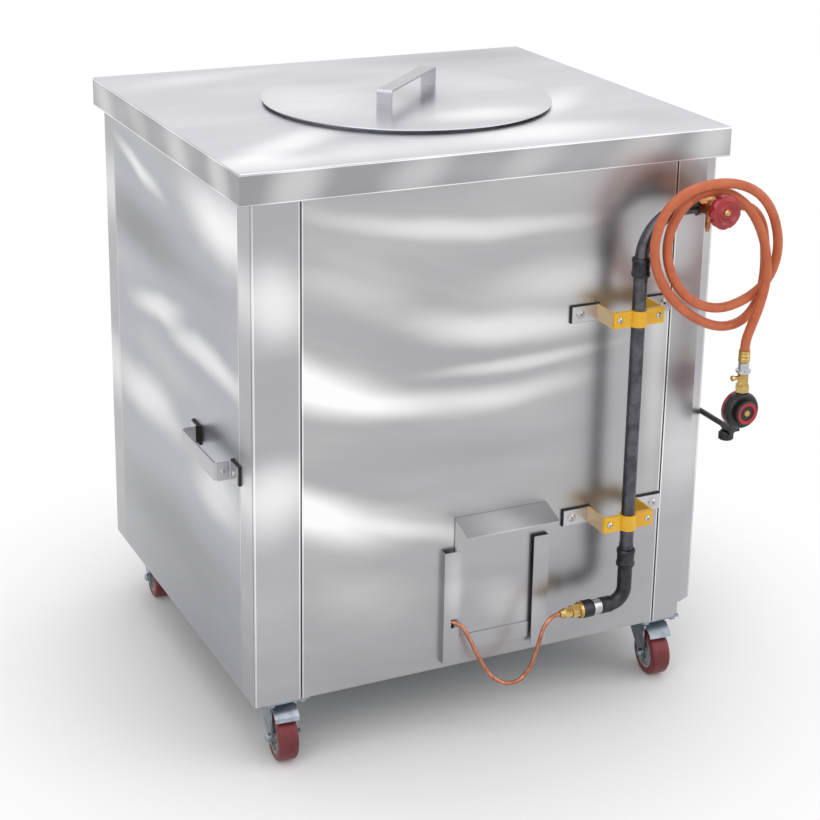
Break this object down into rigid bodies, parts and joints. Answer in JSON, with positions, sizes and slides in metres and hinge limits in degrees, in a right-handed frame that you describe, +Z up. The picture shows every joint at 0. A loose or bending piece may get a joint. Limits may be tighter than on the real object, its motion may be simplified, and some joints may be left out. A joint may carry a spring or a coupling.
{
  "type": "clay tandoor oven",
  "caption": "Square steel-clad clay tandoor oven on braked castors, with a loose round lid, a sliding ash door, gas piping, a valve and a looped hose with a regulator.",
  "frame": {"origin": "on the floor, under the middle of the oven's outer box, which runs from the tip of the valve spindle to the back of the cover and from side handle to side handle; the hose, the regulator and what is on it are left out of that box", "axes": "+X to the right as the oven is seen from its front, +Y to its back, +Z up"},
  "size_m": [0.8694, 0.796, 0.9635],
  "materials": {
    "stainless_cover": "satin",
    "stainless_panels": "satin, softly mirroring",
    "stainless_trims": "satin",
    "stainless_lid": "satin",
    "stainless_straps": "satin",
    "stainless_door": "bright",
    "frame_paint": "matt black",
    "galvanised": "zinc coated",
    "fired_clay": "unglazed",
    "mineral_wool": "fibrous",
    "burner_iron": "rough",
    "brass": "machined",
    "yellow_brass_paint": "cast, copper coloured",
    "copper": "soft drawn copper",
    "pipe_paint": "dark grey, satin",
    "black_nut": "satin black",
    "bare_steel": "bright",
    "blackened_steel": "satin black",
    "screws": "bright",
    "clamp_yellow": "yellow",
    "black_rubber": "matt",
    "handwheel_red": "glossy crimson",
    "hose_orange": "satin orange",
    "regulator_red": "glossy red",
    "black_plastic": "matt",
    "zinc": "bluish zinc",
    "hub_grey": "light grey",
    "tyre_red": "maroon"
  },
  "bodies": {
    "oven": {"cover": "stainless_cover", "front_panel": "stainless_panels", "left_panel": "stainless_panels", "right_panel": "stainless_panels", "rear_panel": "stainless_panels", "trim_front_left": "stainless_trims", "trim_front_right": "stainless_trims", "rear_corner_trims": "stainless_trims", "mouth_ring": "stainless_lid", "side_handles": "stainless_straps", "door_guides": "stainless_door", "base_frame": "frame_paint", "base_tray": "galvanised", "air_duct": "galvanised", "clay_pot": "fired_clay", "insulation_fill": "mineral_wool", "burner": "burner_iron", "burner_jet": "brass", "brass_fittings": "brass", "hose_fittings": "brass", "valve_body": "yellow_brass_paint", "copper_tube": "copper", "riser_pipe": "pipe_paint", "top_bend": "pipe_paint", "pipe_elbow": "pipe_paint", "pipe_couplings": "pipe_paint", "union_nut": "black_nut", "union_ring": "bare_steel", "hose_nut": "bare_steel", "inlet_stem": "blackened_steel", "panel_screws": "screws", "clamp_brackets": "clamp_yellow", "clamp_straps": "clamp_yellow", "backing_pads": "black_rubber", "hose": "hose_orange", "regulator_body": "regulator_red", "regulator_cap": "black_plastic", "castor_plates": "zinc", "castor_bolts": "zinc"},
    "lid": {"lid_plate": "stainless_lid", "lid_handle": "stainless_straps"},
    "ash_door": {"ash_door": "stainless_door"},
    "handwheel": {"handwheel": "handwheel_red", "valve_spindle": "brass"},
    "regulator_dial": {"regulator_dial": "black_plastic"},
    "shutoff_knob": {"shutoff_knob": "black_plastic"},
    "castor_front_left": {"castor_fork_front_left": "zinc"},
    "wheel_front_left": {"castor_hub_front_left": "hub_grey", "castor_tyre_front_left": "tyre_red"},
    "pedal_front_left": {"brake_pedal_front_left": "zinc"},
    "castor_front_right": {"castor_fork_front_right": "zinc"},
    "wheel_front_right": {"castor_hub_front_right": "hub_grey", "castor_tyre_front_right": "tyre_red"},
    "pedal_front_right": {"brake_pedal_front_right": "zinc"},
    "castor_rear_left": {"castor_fork_rear_left": "zinc"},
    "wheel_rear_left": {"castor_hub_rear_left": "hub_grey", "castor_tyre_rear_left": "tyre_red"},
    "castor_rear_right": {"castor_fork_rear_right": "zinc"},
    "wheel_rear_right": {"castor_hub_rear_right": "hub_grey", "castor_tyre_rear_right": "tyre_red"}
  },
  "joints": [
    {"name": "lid_lift", "type": "slide", "parent": "oven", "child": "lid", "axis": [0, 0, 1], "range_m": [0, 0.4]},
    {"name": "ash_door_slide", "type": "slide", "parent": "oven", "child": "ash_door", "axis": [0, 0, 1], "range_m": [0, 0.14]},
    {"name": "handwheel_turn", "type": "hinge", "parent": "oven", "child": "handwheel", "pos_m": [0.333, -0.342, 0.821], "axis": [0, -1, 0], "range_deg": [0, 720]},
    {"name": "regulator_dial_turn", "type": "hinge", "parent": "oven", "child": "regulator_dial", "pos_m": [0.3952, -0.37, 0.492], "axis": [0, -1, 0], "range_deg": [0, 270]},
    {"name": "shutoff_knob_turn", "type": "hinge", "parent": "oven", "child": "shutoff_knob", "pos_m": [0.3915, -0.344, 0.44], "axis": [0, 0, 1], "continuous": true},
    {"name": "castor_front_left_swivel", "type": "hinge", "parent": "oven", "child": "castor_front_left", "pos_m": [-0.3285, -0.242, 0.09], "axis": [0, 0, 1], "continuous": true},
    {"name": "wheel_front_left_spin", "type": "hinge", "parent": "castor_front_left", "child": "wheel_front_left", "pos_m": [-0.33094, -0.26989, 0.0375], "axis": [0.9962, -0.0872, 0], "continuous": true},
    {"name": "brake_pedal_front_left_press", "type": "hinge", "parent": "castor_front_left", "child": "pedal_front_left", "pos_m": [-0.32981, -0.25694, 0.0867], "axis": [0.9962, -0.0872, 0], "range_deg": [0, 8]},
    {"name": "castor_front_right_swivel", "type": "hinge", "parent": "oven", "child": "castor_front_right", "pos_m": [0.3285, -0.242, 0.09], "axis": [0, 0, 1], "continuous": true},
    {"name": "wheel_front_right_spin", "type": "hinge", "parent": "castor_front_right", "child": "wheel_front_right", "pos_m": [0.32606, -0.26989, 0.0375], "axis": [0.9962, -0.0872, 0], "continuous": true},
    {"name": "brake_pedal_front_right_press", "type": "hinge", "parent": "castor_front_right", "child": "pedal_front_right", "pos_m": [0.32719, -0.25694, 0.0867], "axis": [0.9962, -0.0872, 0], "range_deg": [0, 8]},
    {"name": "castor_rear_left_swivel", "type": "hinge", "parent": "oven", "child": "castor_rear_left", "pos_m": [-0.3285, 0.349, 0.09], "axis": [0, 0, 1], "continuous": true},
    {"name": "wheel_rear_left_spin", "type": "hinge", "parent": "castor_rear_left", "child": "wheel_rear_left", "pos_m": [-0.33094, 0.32111, 0.0375], "axis": [0.9962, -0.0872, 0], "continuous": true},
    {"name": "castor_rear_right_swivel", "type": "hinge", "parent": "oven", "child": "castor_rear_right", "pos_m": [0.3285, 0.349, 0.09], "axis": [0, 0, 1], "continuous": true},
    {"name": "wheel_rear_right_spin", "type": "hinge", "parent": "castor_rear_right", "child": "wheel_rear_right", "pos_m": [0.32606, 0.32111, 0.0375], "axis": [0.9962, -0.0872, 0], "continuous": true}
  ]
}
